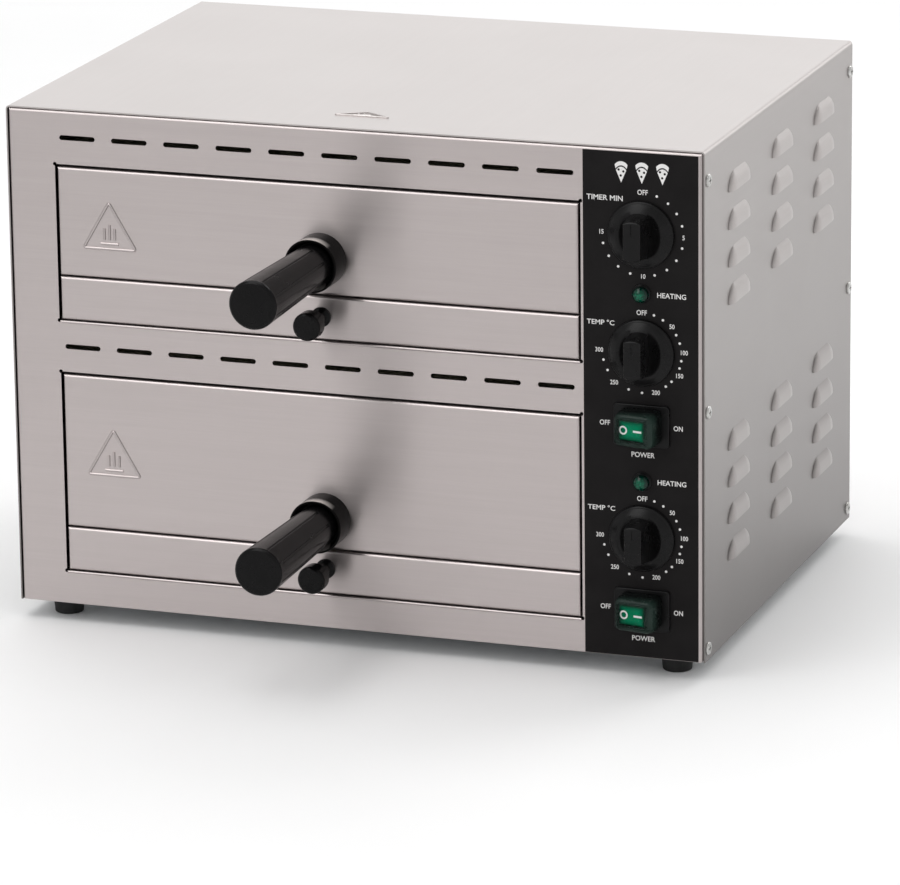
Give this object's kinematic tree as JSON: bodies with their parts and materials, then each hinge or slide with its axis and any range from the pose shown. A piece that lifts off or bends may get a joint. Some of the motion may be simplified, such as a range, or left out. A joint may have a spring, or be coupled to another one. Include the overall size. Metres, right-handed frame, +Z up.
{
  "type": "countertop pizza oven",
  "caption": "Two-deck countertop electric pizza oven: stainless casing, pull-out rack doors with round grips, crumb trays, dials, rocker switches and pilot lamps.",
  "frame": {"origin": "on the ground at the centre of the whole oven's footprint, handles and gland included", "axes": "+X to the right seen from the front, +Y to the rear, +Z up; the front face looks along -Y"},
  "size_m": [0.5801, 0.5876, 0.422],
  "materials": {
    "stainless_steel": "horizontal brushed grain",
    "galvanised_steel": "dull zinc",
    "aluminised_steel": "satin, slightly heat tinted",
    "black_film": "matte black with white print",
    "black_rubber": "matte",
    "zinc_fasteners": "bright zinc",
    "mineral_wool": "fibrous",
    "copper_capillary": "drawn copper",
    "ivory_plastic": "moulded",
    "gland_plastic": "moulded",
    "control_plastic": "moulded phenolic",
    "switch_plastic": "moulded",
    "green_boot": "translucent dark green",
    "green_rocker": "translucent green, white marks",
    "green_lens": "translucent green, faceted dome",
    "black_bakelite": "black phenolic, satin",
    "knob_plastic": "black phenolic, satin",
    "element_sheath": "oxidised sheath",
    "chromed_wire": "bright chromed wire"
  },
  "bodies": {
    "casing": {"base_plate": "galvanised_steel", "cable_gland": "gland_plastic", "chamber_insulation": "mineral_wool", "control_overlay": "black_film", "control_screws": "zinc_fasteners", "cover_screws": "zinc_fasteners", "earth_stud": "zinc_fasteners", "element_supports": "aluminised_steel", "foot_screws": "zinc_fasteners", "front_panel": "stainless_steel", "heat_shield": "galvanised_steel", "lamp_bodies": "switch_plastic", "lamp_lenses": "green_lens", "lower_bottom_element": "element_sheath", "lower_chamber": "aluminised_steel", "lower_switch_boot": "green_boot", "lower_top_element": "element_sheath", "outer_cover": "stainless_steel", "rack_runners": "aluminised_steel", "rear_panel": "stainless_steel", "rubber_feet": "black_rubber", "switch_housings": "switch_plastic", "terminal_block": "ivory_plastic", "thermostat_bodies": "control_plastic", "thermostat_probes": "copper_capillary", "timer_body": "control_plastic", "upper_bottom_element": "element_sheath", "upper_chamber": "aluminised_steel", "upper_switch_boot": "green_boot", "upper_top_element": "element_sheath"},
    "upper_drawer": {"upper_door_skin": "stainless_steel", "upper_door_liner": "aluminised_steel", "upper_handle_collar": "black_bakelite", "upper_handle_grip": "black_bakelite", "upper_handle_bolt": "zinc_fasteners", "upper_wire_rack": "chromed_wire", "upper_rack_screws": "zinc_fasteners"},
    "upper_tray": {"upper_tray_front": "stainless_steel", "upper_crumb_tray": "aluminised_steel", "upper_tray_knob": "black_bakelite", "upper_tray_knob_screw": "zinc_fasteners"},
    "upper_thermostat_dial": {"upper_thermostat_knob": "knob_plastic", "upper_thermostat_shaft": "zinc_fasteners"},
    "upper_power_rocker": {"upper_switch_rocker": "green_rocker"},
    "lower_drawer": {"lower_door_skin": "stainless_steel", "lower_door_liner": "aluminised_steel", "lower_handle_collar": "black_bakelite", "lower_handle_grip": "black_bakelite", "lower_handle_bolt": "zinc_fasteners", "lower_wire_rack": "chromed_wire", "lower_rack_screws": "zinc_fasteners"},
    "lower_tray": {"lower_tray_front": "stainless_steel", "lower_crumb_tray": "aluminised_steel", "lower_tray_knob": "black_bakelite", "lower_tray_knob_screw": "zinc_fasteners"},
    "lower_thermostat_dial": {"lower_thermostat_knob": "knob_plastic", "lower_thermostat_shaft": "zinc_fasteners"},
    "lower_power_rocker": {"lower_switch_rocker": "green_rocker"},
    "timer_dial": {"timer_knob": "knob_plastic", "timer_shaft": "zinc_fasteners"}
  },
  "joints": [
    {"name": "upper_drawer_slide", "type": "slide", "parent": "casing", "child": "upper_drawer", "axis": [0, -1, 0], "range_m": [0, 0.3]},
    {"name": "upper_tray_slide", "type": "slide", "parent": "casing", "child": "upper_tray", "axis": [0, -1, 0], "range_m": [0, 0.33]},
    {"name": "upper_thermostat_turn", "type": "hinge", "parent": "casing", "child": "upper_thermostat_dial", "pos_m": [0.237, -0.154, 0.2608], "axis": [0, 1, 0], "range_deg": [0, 270]},
    {"name": "upper_power_rock", "type": "hinge", "parent": "casing", "child": "upper_power_rocker", "pos_m": [0.237, -0.1455, 0.203], "axis": [0, 0, 1], "range_deg": [0, 23], "deforming": ["upper_switch_boot"]},
    {"name": "lower_drawer_slide", "type": "slide", "parent": "casing", "child": "lower_drawer", "axis": [0, -1, 0], "range_m": [0, 0.3]},
    {"name": "lower_tray_slide", "type": "slide", "parent": "casing", "child": "lower_tray", "axis": [0, -1, 0], "range_m": [0, 0.33]},
    {"name": "lower_thermostat_turn", "type": "hinge", "parent": "casing", "child": "lower_thermostat_dial", "pos_m": [0.237, -0.154, 0.1123], "axis": [0, 1, 0], "range_deg": [0, 270]},
    {"name": "lower_power_rock", "type": "hinge", "parent": "casing", "child": "lower_power_rocker", "pos_m": [0.237, -0.1455, 0.0545], "axis": [0, 0, 1], "range_deg": [0, 23], "deforming": ["lower_switch_boot"]},
    {"name": "timer_turn", "type": "hinge", "parent": "casing", "child": "timer_dial", "pos_m": [0.237, -0.154, 0.3541], "axis": [0, 1, 0], "range_deg": [0, 270]}
  ]
}
